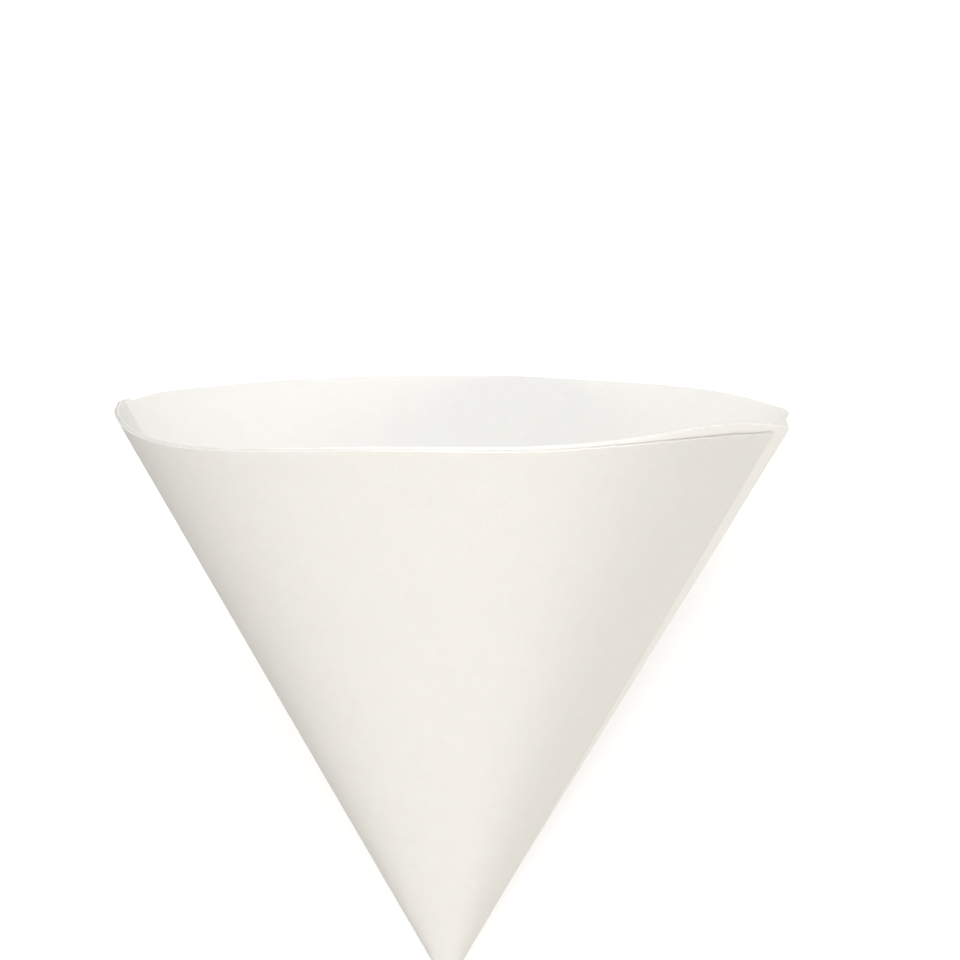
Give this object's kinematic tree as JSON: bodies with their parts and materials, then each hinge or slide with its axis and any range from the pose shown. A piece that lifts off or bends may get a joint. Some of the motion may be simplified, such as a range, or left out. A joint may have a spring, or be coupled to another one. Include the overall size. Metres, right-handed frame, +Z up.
{
  "type": "paper coffee filter",
  "caption": "Round sheet of white filter paper, folded and opened into a cone, with a plain back wall and a front wall of nested, folded plies.",
  "frame": {"origin": "on the ground, below the middle of the part's box as it lies on its back wall", "axes": "+X across the mouth from crease to crease, +Y from the tip towards the mouth, +Z up, from the plain back wall to the layered front wall"},
  "size_m": [0.1544, 0.1524, 0.1315],
  "materials": {
    "filter_paper": "matte"
  },
  "bodies": {
    "root": {"filter": "filter_paper"}
  },
  "joints": []
}
